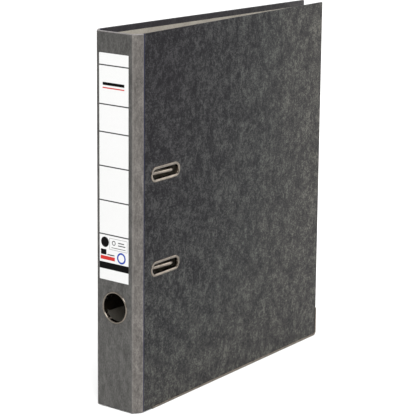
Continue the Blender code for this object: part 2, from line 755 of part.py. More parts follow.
def build_lever():
    """The lever: a strip with a rolled end, two cheeks, and the roller on its pin."""
    frame = empty("lever_pivot", (PIVOT_X, LEVER_Y + SPINE_Y, PIVOT_Z))
    sheet = 1.2 * MM
    cheek = LEVER_WIDTH / 2
    top = 4.9 * MM  # the strip's upper side above the pivot
    foot_z, straight_z = -5.5 * MM, 16 * MM
    grip_x, grip_low, curl_z, curl_r = 9.5 * MM, 40 * MM, 58 * MM, 3.4 * MM
    knee = (grip_x - 1.2 * MM, 30 * MM)
    halfway = ((top + knee[0]) / 2, (straight_z + knee[1]) / 2)
    path = [(top, foot_z), (top, straight_z), halfway, knee, (grip_x, grip_low), (grip_x, curl_z)]
    path += arc((grip_x + curl_r, curl_z), curl_r, 180, -60, 12)[1:]
    arm = node("lever_arm", prism(ribbon(path, sheet), "y", -cheek, cheek), "nickel_steel", frame)
    flank = [
        (top - sheet / 2, foot_z),
        (top - sheet / 2, 22 * MM),
        (top - 3.5 * MM, 20 * MM),
        (-2.2 * MM, straight_z),
        (-3.8 * MM, 12.5 * MM),
        (-2.8 * MM, 9 * MM),
        (-3.6 * MM, 0),
        (-2.6 * MM, -3.4 * MM),
        (0, -4.4 * MM),
    ]
    for index, side in enumerate((-1, 1), 1):
        low, high = sorted((side * cheek, side * (cheek - sheet)))
        boolean(arm, helper(f"lever_arm_cheek_{index}", prism(flank, "y", low, high)), "UNION")
    roller_at = (ROLLER_X - PIVOT_X, 0, ROLLER_Z - PIVOT_Z)
    for name, radius, at in (("pivot", PIN_R, (0, 0, 0)), ("roller", ROLLER_PIN_R, roller_at)):
        hole = rod(radius + HOLE_EASE, -cheek - CUT, cheek + CUT, "y")
        boolean(arm, helper(f"lever_arm_{name}_hole", hole, at))
    pin_head_r, pin_head = 1.6 * MM, 0.45 * MM
    build_pin("roller_pin", ROLLER_PIN_R, pin_head_r, cheek + SKIN_GAP, pin_head, frame, roller_at)

    half = cheek - sheet - 0.6 * MM
    edge = 0.4 * MM
    wheel = [
        (ROLLER_PIN_R + HOLE_EASE, -half),
        (ROLLER_R - edge, -half),
        (ROLLER_R, -half + edge),
        (ROLLER_R, half - edge),
        (ROLLER_R - edge, half),
        (ROLLER_PIN_R + HOLE_EASE, half),
    ]
    wheel_frame = empty("roller_spin", roller_at, 0, frame)
    node("lever_roller", lathe(wheel, "y", 24), "nickel_steel", wheel_frame)


def build_compressor():
    """The bar that holds the paper down, sliding on the posts between two friction clips."""
    rest = 1.7 * MM  # underside above the base plate
    sheet = 1 * MM
    frame = empty("compressor_slide", (PLATE_TOP + rest, POST_Y + SPINE_Y, MID_Z))
    ends, side_y, fold_end, fold_x = 53 * MM, 6.5 * MM, 47 * MM, 2.6 * MM
    outline = rounded_box((-side_y, -ends), (side_y, ends), (4 * MM,) * 4)
    bar = node("compressor_bar", prism(outline, "x", 0, sheet), "nickel_steel", frame)
    for index, side in enumerate((-1, 1), 1):
        low, high = sorted((side * side_y, side * (side_y - sheet)))
        fold = rounded_box((low, -fold_end), (high, fold_end), (0, 0, 0, 0))
        fold = helper(f"compressor_bar_fold_{index}", prism(fold, "x", sheet / 2, fold_x))
        boolean(bar, fold, "UNION")
    rib_length, rib_rise = 56 * MM, 0.7 * MM
    upright = racetrack((0, 0), rib_length, RIB_WIDTH, 4)
    rib = prism([(y, z) for z, y in upright], "x", sheet / 2, sheet + rib_rise)
    boolean(bar, helper("compressor_bar_rib", rib), "UNION")

    clip_hole = 3.4 * MM
    collar_r, collar_top = 4.6 * MM, sheet + 1.4 * MM
    clip = [
        (POST_R + HOLE_EASE, -0.35 * MM),
        (clip_hole - HOLE_EASE, -0.35 * MM),
        (clip_hole - HOLE_EASE, sheet + HOLE_EASE),
        (collar_r, sheet + HOLE_EASE),
        (collar_r - 0.3 * MM, collar_top),
        (POST_R + HOLE_EASE, collar_top),
    ]
    for place, z in zip(("lower", "upper"), RING_Z):
        at = (0, 0, z - MID_Z)
        hole = rod(clip_hole, -CUT, CUT, "x", 24)
        boolean(bar, helper(f"compressor_bar_{place}_hole", hole, at))
        node(f"{place}_compressor_clip", lathe(clip, "x", 24), "clip_plastic", frame, at)


def main():
    clear_scene()
    build_materials()
    build_back_cover()
    build_spine()
    build_front_cover()
    build_base_plate()
    build_rivets()
    build_posts()
    build_arches()
    build_spring()
    build_bracket()
    build_lever()
    build_compressor()


main()
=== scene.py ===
"""Looks of the lever arch file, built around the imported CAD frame.

The boards, creases, linings and label are modelled here as paper-wrapped binding board,
and replace the plain CAD layers. The metal parts keep their CAD shape and get their
plating. Everything is in metres, in the frame's own axes: +Z up, +Y from the spine to the
fore edge, +X from the back cover to the slotted front cover.
"""

import json
import math

import bmesh
import bpy
from mathutils import Matrix, Vector


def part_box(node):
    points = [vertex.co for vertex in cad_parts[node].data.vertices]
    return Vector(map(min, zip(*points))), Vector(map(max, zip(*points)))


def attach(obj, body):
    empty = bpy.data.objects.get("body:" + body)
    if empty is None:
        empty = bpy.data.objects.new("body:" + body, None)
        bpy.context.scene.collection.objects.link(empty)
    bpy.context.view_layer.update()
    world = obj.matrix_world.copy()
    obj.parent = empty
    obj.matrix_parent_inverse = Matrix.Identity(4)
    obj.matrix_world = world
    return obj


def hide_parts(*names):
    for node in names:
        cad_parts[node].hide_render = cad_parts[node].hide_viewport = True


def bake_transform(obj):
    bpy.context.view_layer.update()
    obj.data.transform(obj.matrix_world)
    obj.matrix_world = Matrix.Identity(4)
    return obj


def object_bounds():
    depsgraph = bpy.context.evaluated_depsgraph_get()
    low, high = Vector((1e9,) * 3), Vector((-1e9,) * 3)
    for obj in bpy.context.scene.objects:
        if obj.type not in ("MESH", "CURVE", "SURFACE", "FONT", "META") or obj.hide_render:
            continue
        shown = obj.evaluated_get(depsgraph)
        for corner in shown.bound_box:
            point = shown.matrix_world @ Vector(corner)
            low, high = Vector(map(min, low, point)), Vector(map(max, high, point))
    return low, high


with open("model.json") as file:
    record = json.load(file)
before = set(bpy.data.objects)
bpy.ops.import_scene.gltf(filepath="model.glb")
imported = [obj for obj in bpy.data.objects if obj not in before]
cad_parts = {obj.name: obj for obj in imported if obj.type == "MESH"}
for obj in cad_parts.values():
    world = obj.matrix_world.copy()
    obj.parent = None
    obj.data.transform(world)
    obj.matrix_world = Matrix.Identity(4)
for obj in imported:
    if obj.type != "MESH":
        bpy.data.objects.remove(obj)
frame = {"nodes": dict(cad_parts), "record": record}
CAD_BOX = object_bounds()

MM = 0.001

FOLD_NEAR = 5.5 * MM  # the spine's flat ends this far short of each corner line
FOLD_FAR = 7.2 * MM  # and its slanted edge ends this far along the cover
AXIS_INSET = (FOLD_NEAR + FOLD_FAR - math.hypot(FOLD_NEAR, FOLD_FAR)) / 2  # from the corner

# Read from the frame
JOINTS = {joint["name"]: joint for joint in frame["record"]["behaviour"]["joints"]}
BACK_X, SPINE_Y = (value - AXIS_INSET for value in JOINTS["spine_hinge"]["pos_m"][:2])
FRONT_X = JOINTS["front_cover_hinge"]["pos_m"][0] + AXIS_INSET
SEAT, HEIGHT = (corner.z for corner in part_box("spine_board"))
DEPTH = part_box("back_cover_board")[1].y - SPINE_Y
TAPER = math.acos((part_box("front_cover_paper")[1].y - SPINE_Y) / DEPTH)

# Wrapped boards
THICK = 2.05 * MM  # board and paper, without the lining
RIM = 0.55 * MM  # radius of a wrapped edge
LINING = 0.16 * MM
LINING_INSET = 5 * MM
STRIP_LAP = 9.6 * MM  # the spine covering runs this far on to each cover
PANEL_HALF = 17.5 * MM  # half the flat middle of the spine
COVER_CORNER = 3.5 * MM  # inside the edge guard
TOP_CORNER = 0.7 * MM
HOLE_REACH = 8 * MM
LABEL_SHEET = 0.15 * MM
EYELET_WALL = 2.15 * MM  # from an eyelet's outer edge to its barrel
THUMB_RING_WALL = 0.9 * MM
RIVET_HOLE = 2 * MM  # radius
METAL_EDGE = 0.12 * MM
FLOOR_GAP = 0.2 * MM
OUTER_FOLDS = (1.1 * MM, 3 * MM)  # radii of the two bends of a spine edge
INNER_FOLDS = (0.4 * MM, 1.2 * MM)
SMOOTH_BELOW = math.radians(32)

# For the papers' patterns, in millimetres from the middle of the spine and from its foot
FOLD_STARTS = (BACK_X + FOLD_NEAR) / -MM - 0.5
TOP = HEIGHT / MM

# How far each cover is turned from square to the spine, and which way its depth runs
SIDES = {"back": (BACK_X, 0.0, 1), "front": (FRONT_X, TAPER, -1)}


# ---------------------------------------------------------------- shaders


class Shading:
    """A material's node tree, with short names for the nodes that the materials share."""

    def __init__(self, name):
        self.material = bpy.data.materials.new(name)
        self.material.use_nodes = True
        self.tree = self.material.node_tree
        self.shader = self.tree.nodes["Principled BSDF"]

    def node(self, kind, inputs, **settings):
        made = self.tree.nodes.new("ShaderNode" + kind)
        for name, value in settings.items():
            setattr(made, name, value)
        for place, value in inputs.items():
            self.feed(made.inputs[place], value)
        return made

    def feed(self, socket, value):
        if isinstance(value, bpy.types.NodeSocket):
            self.tree.links.new(value, socket)
        else:
            socket.default_value = value

    def set(self, **values):
        """Principled inputs, with an underscore for each space in the name."""
        for name, value in values.items():
            self.feed(self.shader.inputs[name.replace("_", " ")], value)

    def unrolled(self):
        """Millimetres along the unrolled sheet, up it, and into it."""
        place = self.node("Attribute", {}, attribute_name="unrolled")
        scaled = self.node("VectorMath", {0: place.outputs["Vector"]}, operation="SCALE")
        scaled.inputs["Scale"].default_value = 1 / MM
        return scaled.outputs["Vector"]

    def object_mm(self):
        place = self.node("TexCoord", {})
        scaled = self.node("VectorMath", {0: place.outputs["Object"]}, operation="SCALE")
        scaled.inputs["Scale"].default_value = 1 / MM
        return scaled.outputs["Vector"]

    def stretch(self, vector, *factors):
        return self.node("VectorMath", {0: vector, 1: factors}, operation="MULTIPLY").outputs[0]

    def split(self, vector):
        return self.node("SeparateXYZ", {0: vector}).outputs

    def noise(self, vector, size, detail=3.0, roughness=0.55, distortion=0.0):
        """Noise whose features are about size millimetres across."""
        values = {"Vector": vector, "Scale": 1 / size, "Detail": detail}
        values.update({"Roughness": roughness, "Distortion": distortion})
        return self.node("TexNoise", values).outputs["Fac"]

    def math(self, operation, first, second=0.0, clamp=False):
        return self.node("Math", {0: first, 1: second}, operation=operation, use_clamp=clamp).outputs[0]

    def remap(self, value, low, high, to_low, to_high):
        return self.node(
            "MapRange",
            {"Value": value, "From Min": low, "From Max": high, "To Min": to_low, "To Max": to_high},
        ).outputs["Result"]

    def ramp(self, factor, *stops):
        made = self.node("ValToRGB", {"Fac": factor})
        elements = made.color_ramp.elements
        while len(elements) < len(stops):
            elements.new(0.5)
        for element, (position, colour) in zip(elements, stops):
            element.position = position
            element.color = (*colour, 1)
        return made.outputs["Color"]

    def mix(self, factor, first, second, blend="MIX"):
        """Colours as sockets or as (r, g, b)."""
        made = self.node("Mix", {0: factor}, data_type="RGBA", blend_type=blend)
        for place, value in ((6, first), (7, second)):
            self.feed(made.inputs[place], (*value, 1) if isinstance(value, tuple) else value)
        return made.outputs[2]

    def blend(self, *weighted):
        """The sum of (value, weight) pairs."""
        total = 0.0
        for value, weight in weighted:
            total = self.math("ADD", total, self.math("MULTIPLY", value, weight))
        return total

    def within(self, value, low, high, soft=0.06):
        """1 where value lies between low and high, with edges soft millimetres wide."""
        over = self.remap(value, low - soft, low + soft, 0, 1)
        under = self.remap(value, high - soft, high + soft, 1, 0)
        return self.math("MULTIPLY", over, under)

    def either(self, *masks):
        result = masks[0]
        for mask in masks[1:]:
            result = self.math("MAXIMUM", result, mask)
        return result

    def bump(self, height, depth, strength=1.0):
        """Relief of the given depth in millimetres."""
        made = self.node("Bump", {"Height": height, "Distance": depth * MM, "Strength": strength})
        self.feed(self.shader.inputs["Normal"], made.outputs["Normal"])


def fibre_relief(shading, place):
    """The tooth of uncoated paper: short fibres and a fine grain."""
    along = shading.noise(shading.stretch(place, 1.0, 0.3, 1.0), 0.5, 4, 0.6, 0.8)
    grain = shading.noise(place, 0.22, 2)
    return shading.blend((along, 0.6), (grain, 0.4))


def marbled_paper():
    """Charcoal cloud-marbled paper: soft upright clouds broken up by a fine mottle.

    It carries painted light, from dark by the spine to pale at the fore edge and foot, with a slow
    random drift. Where the sheet is turned in over the board's inside, it is plainer.
    """
    shading = Shading("marbled_paper")
    place = shading.unrolled()
    upright = shading.stretch(place, 1.0, 0.75, 1.0)
    clouds = shading.noise(upright, 12, 4, 0.6, 0.4)
    puffs = shading.noise(upright, 3.6, 4, 0.65, 0.5)
    mottle = shading.noise(shading.stretch(place, 1.0, 0.9, 1.0), 1.5, 3, 0.72, 0.3)
    grain = shading.noise(place, 0.75, 2)
    tone = shading.blend((clouds, 0.2), (puffs, 0.25), (mottle, 0.32), (grain, 0.23))
    across = shading.math("ABSOLUTE", shading.split(place)[0])
    # Painted light: the paper is painted paler toward the fore edge and the foot, darkest by the spine at
    # the top.
    fore = shading.math("POWER", shading.remap(across, 30, 330, 0, 1), 1.5)
    low = shading.math("POWER", shading.remap(shading.split(place)[1], 0, TOP, 1, 0), 2)
    both = shading.math("MULTIPLY", fore, low)
    drift = shading.noise(place, 45, 2)
    painted_light_and_drift = shading.blend((1.0, 0.2), (fore, 0.57), (low, 0.41), (both, -0.53), (drift, 0.14))
    strong = shading.ramp(
        tone,
        (0.437, (0.0052, 0.0047, 0.0070)),
        (0.500, (0.0190, 0.0187, 0.0200)),
        (0.559, (0.0860, 0.0875, 0.0830)),
    )
    soft = shading.ramp(
        tone,
        (0.425, (0.0080, 0.0078, 0.0092)),
        (0.500, (0.0200, 0.0200, 0.0208)),
        (0.576, (0.0620, 0.0635, 0.0595)),
    )
    # The marbling's contrast follows the painted light, stronger where it is painted dark.
    colour = shading.mix(shading.remap(painted_light_and_drift, 0.3, 0.58, 0, 1), strong, soft)
    # The painted light, as a tint multiplied into the marbling.
    painted_light_tint = shading.ramp(
        painted_light_and_drift,
        (0.28, (0.44, 0.42, 0.47)),
        (0.42, (0.72, 0.72, 0.74)),
        (0.55, (1.18, 1.19, 1.16)),
        (0.77, (1.90, 1.80, 1.66)),
    )
    turned_in = shading.remap(shading.split(place)[2], 0.8, 1.6, 0, 0.62)
    colour = shading.mix(1.0, colour, painted_light_tint, "MULTIPLY")
    shading.set(Base_Color=shading.mix(turned_in, colour, (0.0450, 0.0420, 0.0470)))
    shading.set(Roughness=shading.remap(mottle, 0.3, 0.7, 0.5, 0.66), Specular_IOR_Level=0.09)
    shading.bump(shading.blend((fibre_relief(shading, place), 0.7), (puffs, 0.3)), 0.05, 0.7)
    return shading.material


def spine_tone(shading, place):
    """The grey of the spine paper: a fine upright mottle."""
    blotch = shading.noise(shading.stretch(place, 1.0, 0.35, 1.0), 5, 3, 0.6, 0.4)
    fleck = shading.noise(shading.stretch(place, 1.0, 0.5, 1.0), 1.1, 3, 0.65, 0.8)
    grain = shading.noise(place, 0.4, 2)
    tone = shading.blend((blotch, 0.35), (fleck, 0.4), (grain, 0.25))
    grey = shading.ramp(
        tone,
        (0.40, (0.0320, 0.0312, 0.0295)),
        (0.50, (0.0530, 0.0517, 0.0490)),
        (0.60, (0.0830, 0.0810, 0.0770)),
    )
    fade = shading.remap(shading.split(place)[1], 0, TOP, 1.3, 1.02)
    return shading.node("VectorMath", {0: grey, "Scale": fade}, operation="SCALE").outputs[0]


def spine_paper():
    """Plain grey spine covering: painted paler folds, painted highlights, a painted shadow at its ends."""
    shading = Shading("spine_paper")
    place = shading.unrolled()
    across, up, _ = shading.split(place)
    across = shading.math("ABSOLUTE", across)
    # Painted light: the same grey is painted paler from the fold on, over the slanted edges and the laps.
    painted_light_on_folds = shading.remap(across, FOLD_STARTS - 0.4, FOLD_STARTS + 0.5, 0, 1)
    # A painted highlight along the ridge where the spine's flat turns down the slant.
    painted_ridge_highlight = shading.within(across, FOLD_STARTS - 0.1, FOLD_STARTS + 1.6, 0.5)
    colour = shading.mix(painted_light_on_folds, spine_tone(shading, place), (1.64, 1.55, 1.51), "MULTIPLY")
    colour = shading.mix(shading.math("MULTIPLY", painted_ridge_highlight, 0.22), colour, (0.2, 0.19, 0.18))
    # A painted highlight along the top rim, broken into patches.
    rim = shading.remap(up, TOP - 0.9, TOP - 0.45, 0, 1)
    patches = shading.noise(place, 1.6, 3)
    painted_rim_highlight = shading.math("MULTIPLY", rim, shading.remap(patches, 0.3, 0.6, 0.45, 1))
    colour = shading.mix(painted_rim_highlight, colour, (0.21, 0.197, 0.195))
    # A painted shadow line where the covering ends on each cover.
    end = unrolled_at("front", STRIP_LAP) / MM
    line = shading.remap(across, end - 1.3, end - 1.1, 0, 1)
    shading.set(Base_Color=shading.mix(line, colour, (0.006, 0.008, 0.03)))
    shading.set(Roughness=0.75, Specular_IOR_Level=0.2)
    shading.bump(fibre_relief(shading, place), 0.05, 0.6)
    return shading.material


def lining_paper():
    """Warm grey lining with paler and darker flecks of recycled fibre."""
    shading = Shading("lining_paper")
    place = shading.unrolled()
    cloud = shading.noise(place, 14, 3)
    fleck = shading.noise(shading.stretch(place, 1.0, 0.5, 1.0), 0.8, 3, 0.7, 0.6)
    tone = shading.blend((cloud, 0.4), (fleck, 0.6))
    colour = shading.ramp(tone, (0.4, (0.29, 0.267, 0.229)), (0.6, (0.4, 0.371, 0.323)))
    shading.set(Base_Color=colour, Roughness=0.8, Specular_IOR_Level=0.25)
    shading.bump(fibre_relief(shading, place), 0.05, 0.5)
    return shading.material


# The printed label, in millimetres from its left edge and down from its top edge
LABEL_RULES = (9.9, 42.1, 65.1, 93.5, 122.2, 150.8)
RULE_WIDTH = 1.05
BAND = (174.4, 180.2)
DARK_BARS = (  # left, right, top, bottom
    (3.8, 27.6, 23.9, 26.4),
    (1.4, 7.6, 163.6, 168.2),
    (8.6, 16.6, 167.3, 168.2),
    (20.6, 27.1, 155.9, 156.7),
    (20.6, 28.6, 158.1, 158.9),
    (13.2, 28.8, 160.9, 161.4),
)
RED_BARS = ((1, 17, 169.2, 172.4), (3.8, 27.6, 28, 29))
THIN_FRAME = (11, 30.8, 153.3, 163.1)
THIN_LINE = 0.3
DARK_DISC = (6, 157.4, -1, 4.4)  # centre, inner and outer radius
DARK_RING = (15.8, 157.1, 1.3, 2)
BLUE_RING = (24.2, 168.8, 3.3, 4.8)


def label_paper(low, high):
    """White label: rules, a black band, and plain marks in place of any printed sign."""
    shading = Shading("label_paper")
    place = shading.split(shading.object_mm())
    right = shading.math("SUBTRACT", place[0], low.x / MM)
    down = shading.math("SUBTRACT", high.z / MM, place[2])

    def block(x_low, x_high, y_low, y_high):
        return shading.math(
            "MULTIPLY", shading.within(right, x_low, x_high), shading.within(down, y_low, y_high)
        )

    def ring(x, y, inner, outer):
        x_part = shading.math("POWER", shading.math("ABSOLUTE", shading.math("SUBTRACT", right, x)), 2)
        y_part = shading.math("POWER", shading.math("ABSOLUTE", shading.math("SUBTRACT", down, y)), 2)
        away = shading.math("SQRT", shading.math("ADD", x_part, y_part))
        return shading.within(away, inner, outer)

    across = (-1, (high.x - low.x) / MM + 1)
    half = RULE_WIDTH / 2
    rules = shading.either(*(block(*across, y - half, y + half) for y in LABEL_RULES))
    left, far, top, bottom = THIN_FRAME
    hollow = block(left + THIN_LINE, far - THIN_LINE, top + THIN_LINE, bottom - THIN_LINE)
    thin = shading.math("SUBTRACT", block(*THIN_FRAME), hollow, clamp=True)
    dark = shading.either(
        block(*across, *BAND), *(block(*bar) for bar in DARK_BARS), ring(*DARK_DISC), ring(*DARK_RING)
    )
    red = shading.either(*(block(*bar) for bar in RED_BARS))
    paper = shading.noise(shading.object_mm(), 0.35, 3)
    colour = shading.ramp(paper, (0.3, (0.59, 0.59, 0.585)), (0.7, (0.628, 0.628, 0.623)))
    colour = shading.mix(rules, colour, (0.035, 0.035, 0.035))
    colour = shading.mix(thin, colour, (0.12, 0.12, 0.12))
    colour = shading.mix(dark, colour, (0.003, 0.003, 0.003))
    colour = shading.mix(red, colour, (0.43, 0.03, 0.025))
    colour = shading.mix(ring(*BLUE_RING), colour, (0.02, 0.05, 0.28))
    shading.set(Base_Color=colour, Roughness=0.6, Specular_IOR_Level=0.03)
    shading.bump(paper, 0.02, 0.5)
    return shading.material


def metal(name, colour, rough_low, rough_high, grain_size):
    """Plated or drawn steel: a fine drawn grain under soft darker smudges, partly painted dark reflection.
    """
    shading = Shading(name)
    place = shading.object_mm()
    grain = shading.noise(shading.stretch(place, 1.0, 0.15, 1.0), grain_size, 3, 0.6)
    smudge_and_painted_reflection = shading.noise(place, 7, 3, 0.6, 0.6)
    darker = tuple(0.6 * channel for channel in colour)
    # Smudges and painted dark reflection: the colour darkens in soft random patches.
    shading.set(Base_Color=shading.ramp(smudge_and_painted_reflection, (0.35, darker), (0.65, colour)), Metallic=1.0)
    wear = shading.blend((grain, 0.4), (smudge_and_painted_reflection, 0.6))
    shading.set(Roughness=shading.remap(wear, 0.35, 0.65, rough_low, rough_high))
    shading.bump(shading.blend((grain, 0.5), (smudge_and_painted_reflection, 0.5)), 0.02, 0.35)
    return shading.material


def clip_plastic():
    """Black moulded plastic with a fine spark-eroded grain."""
    shading = Shading("clip_plastic")
    place = shading.object_mm()
    grain = shading.noise(place, 0.18, 3, 0.6)
    cloud = shading.noise(place, 3, 2)
    shading.set(Base_Color=shading.ramp(cloud, (0.3, (0.014, 0.014, 0.015)), (0.7, (0.026, 0.026, 0.027))))
    shading.set(Roughness=shading.remap(grain, 0.3, 0.7, 0.38, 0.6))
    shading.bump(grain, 0.03, 0.6)
    return shading.material


# ---------------------------------------------------------------- shapes


def arc(centre, radius, start, end, steps):
    """Points on an arc, angles in degrees, both ends included."""
    turns = [math.radians(start + (end - start) * i / steps) for i in range(steps + 1)]
    return [(centre[0] + radius * math.cos(a), centre[1] + radius * math.sin(a)) for a in turns]


def rounded_box(low, high, radii, steps=6):
    """A rectangle's outline with a radius for each corner, from the low corner counter-clockwise."""
    points = []
    corners = (
        (low[0], low[1], 1, 1, 180),
        (high[0], low[1], -1, 1, 270),
        (high[0], high[1], -1, -1, 0),
        (low[0], high[1], 1, -1, 90),
    )
    for (x, y, inward_x, inward_y, start), radius in zip(corners, radii):
        if radius:
            centre = (x + inward_x * radius, y + inward_y * radius)
            points += arc(centre, radius, start, start + 90, steps)
        else:
            points.append((x, y))
    return points


def racetrack(low, high, steps=10):
    """A slot's outline between two corners, long along the first axis."""
    half, middle = (high[1] - low[1]) / 2, (low[1] + high[1]) / 2
    right = arc((high[0] - half, middle), half, -90, 90, steps)
    return right + arc((low[0] + half, middle), half, 90, 270, steps)


def cover_space(side):
    """Matrix from (into the cover, along it from the spine, up) to the frame's axes."""
    x, taper, inward = SIDES[side]
    into = Vector((inward * math.cos(taper), inward * math.sin(taper), 0))
    along = Vector((inward * math.sin(taper), math.cos(taper), 0))
    turned = Matrix((into, along, (0, 0, 1))).transposed().to_4x4()
    return Matrix.Translation((x, SPINE_Y, 0)) @ turned


SPINE_SPACE = Matrix(((0, 1, 0, 0), (1, 0, 0, SPINE_Y), (0, 0, 1, 0), (0, 0, 0, 1)))


def fillet(corner, before, after, radius, steps):
    """Points on the arc that rounds a bend between two headings."""
    turned = before.angle(after)
    inward = (after - before).normalized()
    centre = corner + inward * radius / math.cos(turned / 2)
    travel = (before + after).normalized()
    points = []
    for i in range(steps + 1):
        lean = turned * (i / steps - 0.5)
        points.append(centre - inward * radius * math.cos(lean) + travel * radius * math.sin(lean))
    return points


def crease_line(side, depth, radii):
    """One layer of a spine edge, in X and Y: off the flat, down the slant and on to the cover."""
    x, _, inward = SIDES[side]
    cover = cover_space(side).to_3x3()
    along, into = (cover @ Vector(axis) for axis in ((0, 1, 0), (1, 0, 0)))
    fold = Vector((x + inward * FOLD_NEAR, SPINE_Y))
    start = Vector((-inward * PANEL_HALF, SPINE_Y))
    far = (cover_space(side) @ Vector((0, FOLD_FAR, 0))).xy
    end = (cover_space(side) @ Vector((0, STRIP_LAP, 0))).xy
    slant = (far - fold).normalized()
    headings = ((fold - start).normalized(), slant, along.xy)
    depths = (Vector((0, 1)), Vector((inward * slant.y, abs(slant.x))), into.xy)
    bends = []
    for corner, i, radius in zip((fold, far), (0, 1), radii):
        mitre = (depths[i] + depths[i + 1]) / (1 + depths[i].dot(depths[i + 1]))
        bends.append(fillet(corner + mitre * depth, headings[i], headings[i + 1], radius, 6))
    start, end = start + depths[0] * depth, end + depths[2] * depth
    slope = [bends[0][-1].lerp(bends[1][0], share) for share in (0.33, 0.67)]
    return [start, *bends[0], *slope, *bends[1], end]


def unrolled_at(side, along):
    """Distance along the unrolled outer face from the middle of the spine."""
    line = crease_line(side, 0, OUTER_FOLDS)
    crease = sum((after - before).length for before, after in zip(line, line[1:]))
    return PANEL_HALF + crease + along - STRIP_LAP


def soften(mesh):
    """Smooth shading across every bend gentler than a square edge."""
    mesh.shade_smooth()
    mesh.set_sharp_from_angle(angle=SMOOTH_BELOW)


def finish_mesh(name, solid, materials):
    """Link a bmesh as a smooth-shaded object."""
    solid.normal_update()
    bmesh.ops.recalc_face_normals(solid, faces=solid.faces[:])
    mesh = bpy.data.meshes.new(name)
    solid.to_mesh(mesh)
    solid.free()
    for material in materials:
        mesh.materials.append(material)
    soften(mesh)
    made = bpy.data.objects.new(name, mesh)
    bpy.context.scene.collection.objects.link(made)
    return made


def slab(outline, thickness, rim=0.0, steps=3, square=None):
    """A sheet in (into, along, up) from an outline in (along, up), with its rims rounded.

    An edge that lies at along == square stays sharp, for a neighbour to meet it.
    """
    solid = bmesh.new()
    face = solid.faces.new([solid.verts.new((0, along, up)) for along, up in outline])
    drawn = bmesh.ops.extrude_face_region(solid, geom=[face])["geom"]
    moved = [item for item in drawn if isinstance(item, bmesh.types.BMVert)]
    bmesh.ops.translate(solid, vec=(thickness, 0, 0), verts=moved)

    def is_rim(edge):
        first, second = (vertex.co for vertex in edge.verts)
        met = square is not None and max(abs(first.y - square), abs(second.y - square)) < 1e-6
        return abs(first.x - second.x) < 1e-6 and not met

    if rim:
        rims = [edge for edge in solid.edges if is_rim(edge)]
        bmesh.ops.bevel(solid, geom=rims, offset=rim, segments=steps, profile=0.5, affect="EDGES")
    return solid


def cut(target, cutter):
    """Take a helper's shape out of an object, then delete the helper."""
    modifier = target.modifiers.new("cut", "BOOLEAN")
    modifier.object = cutter
    modifier.operation = "DIFFERENCE"
    modifier.solver = "EXACT"
    graph = bpy.context.evaluated_depsgraph_get()
    result = bpy.data.meshes.new_from_object(target.evaluated_get(graph))
    soften(result)
    target.modifiers.clear()
    target.data = result
    bpy.data.objects.remove(cutter, do_unlink=True)


def hole(target, outline, space):
    """Cut an outline in (along, up) straight through a sheet."""
    solid = slab(outline, 2 * HOLE_REACH)
    bmesh.ops.translate(solid, vec=(-HOLE_REACH, 0, 0), verts=solid.verts[:])
    solid.transform(space)
    cut(target, finish_mesh("hole", solid, []))


def mark_unrolled(piece, space, sign, start):
    """Write each vertex's place on the unrolled sheet: along it, up it and into it."""
    back = space.inverted()
    places = []
    for vertex in piece.data.vertices:
        into, along, up = back @ vertex.co
        places += [sign * (start + along), up, into]
    attribute = piece.data.attributes.new("unrolled", "FLOAT_VECTOR", "POINT")
    attribute.data.foreach_set("vector", places)


def place_piece(piece, body, slot, *nodes):
    """Say where a finished sheet belongs, and keep its wide faces flat in the shading."""
    modifier = piece.modifiers.new("flat_faces", "WEIGHTED_NORMAL")
    modifier.weight = 100
    modifier.keep_sharp = True
    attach(piece, body)
    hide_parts(*nodes)


# ---------------------------------------------------------------- covers


def slot_outlines():
    """The two slots' holes, from the eyelets' boxes."""
    outlines = []
    for node in ("lower_slot_eyelet", "upper_slot_eyelet"):
        low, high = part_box(node)
        near, far = ((y - SPINE_Y) / math.cos(TAPER) for y in (low.y, high.y))
        inner_low = (near + EYELET_WALL, low.z + EYELET_WALL)
        outlines.append(racetrack(inner_low, (far - EYELET_WALL, high.z - EYELET_WALL)))
    return outlines


def rivet_outlines():
    """The four rivets' holes."""
    outlines = []
    for index in range(1, 5):
        low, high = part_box(f"mounting_rivet_{index}")
        centre = ((low.y + high.y) / 2 - SPINE_Y, (low.z + high.z) / 2)
        outlines.append(arc(centre, RIVET_HOLE, 0, 345, 23))
    return outlines


def build_cover(side, holes, paper, lining):
    """A board wrapped in marbled paper, and the lining that covers its turn-ins."""
    space = cover_space(side)
    body = f"{side}_cover"
    sign = 1 if side == "front" else -1
    outline = rounded_box((STRIP_LAP, SEAT), (DEPTH, HEIGHT), (0, COVER_CORNER, TOP_CORNER, 0))
    panel = slab(outline, THICK, RIM, square=STRIP_LAP)
    inner = rounded_box(
        (STRIP_LAP, SEAT + LINING_INSET),
        (DEPTH - LINING_INSET, HEIGHT - LINING_INSET),
        (0, 1.5 * MM, 1.5 * MM, 0),
    )
    sheet = slab(inner, LINING, LINING * 0.4, 2, square=STRIP_LAP)
    bmesh.ops.translate(sheet, vec=(THICK, 0, 0), verts=sheet.verts[:])
    pieces = []
    for name, solid, material in ((f"{body}_panel", panel, paper), (f"{body}_lining", sheet, lining)):
        solid.transform(space)
        piece = finish_mesh(name, solid, [material])
        for outline in holes:
            hole(piece, outline, space)
        mark_unrolled(piece, space, sign, unrolled_at(side, 0))
        pieces.append(piece)
    place_piece(pieces[0], body, "marbled_paper", f"{body}_board", f"{body}_paper")
    place_piece(pieces[1], body, "lining_paper", f"{side}_lining")


# ---------------------------------------------------------------- spine and creases


def board_section(thickness, steps=4):
    """A wrapped board's section in (into, up), and where its lining starts and ends."""
    rounded = rounded_box((0, SEAT), (thickness, HEIGHT), (RIM,) * 4, steps)
    middle = len(rounded) // 2
    lining = [(thickness, SEAT + LINING_INSET), (thickness, HEIGHT - LINING_INSET)]
    return rounded[:middle] + lining + rounded[middle:]


